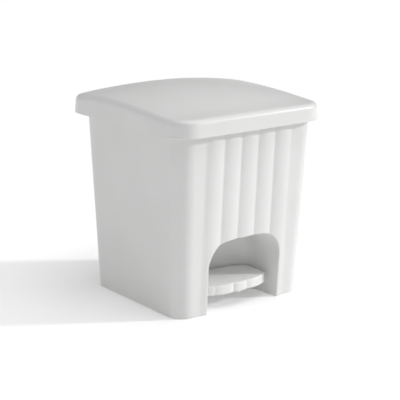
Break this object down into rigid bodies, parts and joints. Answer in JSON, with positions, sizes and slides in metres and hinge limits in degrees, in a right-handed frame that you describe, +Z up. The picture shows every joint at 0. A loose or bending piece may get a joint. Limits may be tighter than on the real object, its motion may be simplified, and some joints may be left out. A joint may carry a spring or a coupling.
{
  "type": "pedal bin",
  "caption": "Small square-plan pedal bin with tapered fluted body, arched foot niche, overhanging domed lid, pedal-driven lift rod and lift-out inner bucket.",
  "frame": {"origin": "on the ground, below the middle of the lid's outline", "axes": "+Z up, +X to the right of someone facing the pedal, -Y towards that person"},
  "size_m": [0.23, 0.2376, 0.2609],
  "materials": {
    "shell_white": "satin moulded polypropylene",
    "pedal_white": "satin moulded polypropylene",
    "bucket_grey": "fine matt moulded polypropylene",
    "nylon_natural": "natural nylon, as moulded",
    "rubber_grey": "matt",
    "steel_wire": "drawn zinc-plated wire",
    "steel_pin": "turned zinc-plated steel"
  },
  "bodies": {
    "base": {"outer_body": "shell_white", "foot_pads": "rubber_grey", "inner_bucket": "bucket_grey", "rod_guide_lower": "nylon_natural", "rod_guide_upper": "nylon_natural", "pedal_axle": "steel_pin", "axle_clip_left": "steel_pin", "axle_clip_right": "steel_pin"},
    "lid": {"lid": "shell_white", "lid_buffer_left": "rubber_grey", "lid_buffer_right": "rubber_grey", "hinge_pin_left": "steel_pin", "hinge_pin_right": "steel_pin", "lid_lever": "shell_white", "lid_lever_screws": "steel_pin", "crank_pin": "steel_pin"},
    "rod": {"lift_rod": "steel_wire", "rod_head": "nylon_natural", "rod_foot": "nylon_natural"},
    "pedal": {"pedal_lever": "pedal_white", "pedal_rear_pin": "steel_pin"},
    "bail": {"bucket_bail": "steel_wire", "bail_grip": "bucket_grey"}
  },
  "joints": [
    {"name": "lid_hinge", "type": "hinge", "parent": "base", "child": "lid", "pos_m": [0, 0.1038, 0.233], "axis": [-1, 0, 0], "range_deg": [0, 70]},
    {"name": "pedal_pivot", "type": "hinge", "parent": "base", "child": "pedal", "pos_m": [0, -0.0272, 0.016], "axis": [1, 0, 0], "range_deg": [0, 11.51]},
    {"name": "rod_slide", "type": "slide", "parent": "base", "child": "rod", "axis": [0, 0.0503, 0.9987], "range_m": [0, 0.02068]},
    {"name": "bail_hinge", "type": "hinge", "parent": "base", "child": "bail", "pos_m": [0, -0.0052, 0.2185], "axis": [-1, 0, 0], "range_deg": [0, 13]}
  ],
  "couplings": [
    {"joint": "pedal_pivot", "follows": "lid_hinge", "ratio": 0.16425},
    {"joint": "rod_slide", "follows": "lid_hinge", "m_per_rad": 0.016923}
  ]
}
